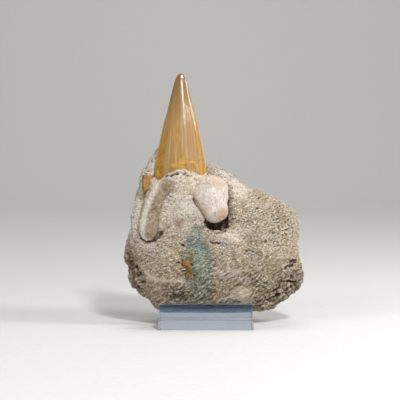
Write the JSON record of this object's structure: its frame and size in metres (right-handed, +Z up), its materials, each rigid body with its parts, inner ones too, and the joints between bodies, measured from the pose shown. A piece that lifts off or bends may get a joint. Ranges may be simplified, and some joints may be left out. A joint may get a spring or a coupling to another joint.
{
  "type": "fossil shark tooth in matrix on a display stand",
  "caption": "Fossil shark tooth with its root bedded in a block of sandy matrix, leaning in a clear acrylic display stand.",
  "frame": {"origin": "middle of the display stand's flat foot, on the table", "axes": "+Z up along the tooth's height, +Y away from the viewer towards the stand's back rest, +X to the viewer's right"},
  "size_m": [0.0868, 0.0412, 0.1206],
  "materials": {
    "sandy_matrix": "matte",
    "fossil_enamel": "satin",
    "chip_enamel": "satin",
    "clear_acrylic": "polished"
  },
  "bodies": {
    "root": {"matrix": "sandy_matrix", "shark_tooth": "fossil_enamel", "enamel_chip": "chip_enamel", "display_stand": "clear_acrylic"}
  },
  "joints": []
}
